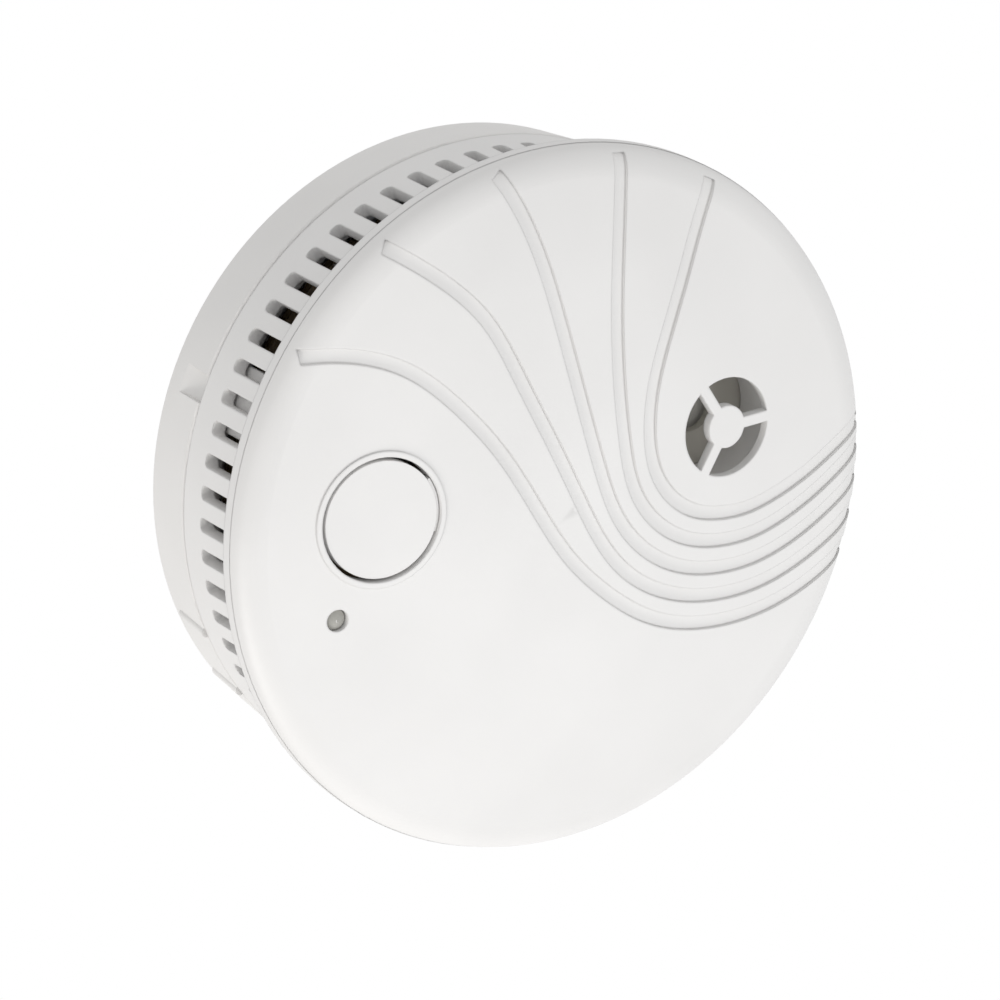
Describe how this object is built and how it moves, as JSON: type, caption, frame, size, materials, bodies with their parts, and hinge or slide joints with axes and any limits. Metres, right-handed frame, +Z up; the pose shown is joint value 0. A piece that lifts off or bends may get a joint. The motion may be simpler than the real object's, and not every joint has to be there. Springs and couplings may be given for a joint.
{
  "type": "smoke detector",
  "caption": "Round domed smoke detector with side air slots, a hinged test button and a sounder grille, on a twist-off mounting base.",
  "frame": {"origin": "centre of the mounting face, where the base meets the wall or ceiling", "axes": "-Y is the way the face looks, +X is to the right of someone looking at the face, +Z is up"},
  "size_m": [0.106, 0.0374, 0.106],
  "materials": {
    "cover_plastic": "fine matt texture",
    "base_plastic": "fine matt texture",
    "housing_plastic": "matt",
    "button_plastic": "fine matt texture",
    "clear_lens": "clear, slightly grey",
    "tinned_lead": "tinned",
    "white_spacer": "matt",
    "board_laminate": "phenolic paper laminate",
    "black_plastic": "matt",
    "screen_metal": "dull",
    "lens_dark": "smooth",
    "chip_black": "moulded",
    "resistor_body": "glazed",
    "capacitor_body": "fired ceramic",
    "can_aluminium": "satin",
    "coil_ferrite": "sintered",
    "coil_copper": "lacquered wire",
    "sounder_plastic": "matt",
    "disc_brass": "rolled",
    "ceramic_white": "silvered ceramic",
    "spring_steel": "plated",
    "battery_wrap": "shrink sleeve",
    "cradle_plastic": "matt",
    "switch_body": "matt",
    "switch_stem": "matt",
    "screw_steel": "zinc plated"
  },
  "bodies": {
    "base": {"mounting_base": "base_plastic"},
    "head": {"rear_housing": "housing_plastic", "front_cover": "cover_plastic", "test_switch": "switch_body", "status_light": "clear_lens", "light_leads": "tinned_lead", "light_spacer": "white_spacer", "circuit_board": "board_laminate", "controller_chip": "chip_black", "resistors": "resistor_body", "chip_capacitors": "capacitor_body", "can_capacitor": "can_aluminium", "coil_core": "coil_ferrite", "coil_winding": "coil_copper", "chamber_base": "black_plastic", "chamber_cap": "black_plastic", "insect_screen": "screen_metal", "infrared_emitter": "lens_dark", "light_receiver": "lens_dark", "sounder_housing": "sounder_plastic", "sounder_cap": "sounder_plastic", "sounder_disc": "disc_brass", "sounder_ceramic": "ceramic_white", "sounder_contacts": "spring_steel", "battery": "battery_wrap", "battery_contacts": "spring_steel", "battery_cradle": "cradle_plastic", "board_screws": "screw_steel", "cover_screws": "screw_steel"},
    "button": {"test_button": "button_plastic"},
    "plunger": {"switch_plunger": "switch_stem"}
  },
  "joints": [
    {"name": "head_twist", "type": "hinge", "parent": "base", "child": "head", "pos_m": [0, 0, 0], "axis": [0, -1, 0], "range_deg": [0, 15]},
    {"name": "button_press", "type": "hinge", "parent": "head", "child": "button", "pos_m": [-0.02047, -0.0337, 0.00521], "axis": [0.1132, 0, -0.9936], "range_deg": [0, 3], "stiffness_Nm_per_rad": 0.6},
    {"name": "plunger_slide", "type": "slide", "parent": "head", "child": "plunger", "axis": [0, 1, 0], "range_m": [0, 0.0006]}
  ],
  "couplings": [
    {"joint": "plunger_slide", "follows": "button_press", "m_per_rad": 0.0107}
  ]
}
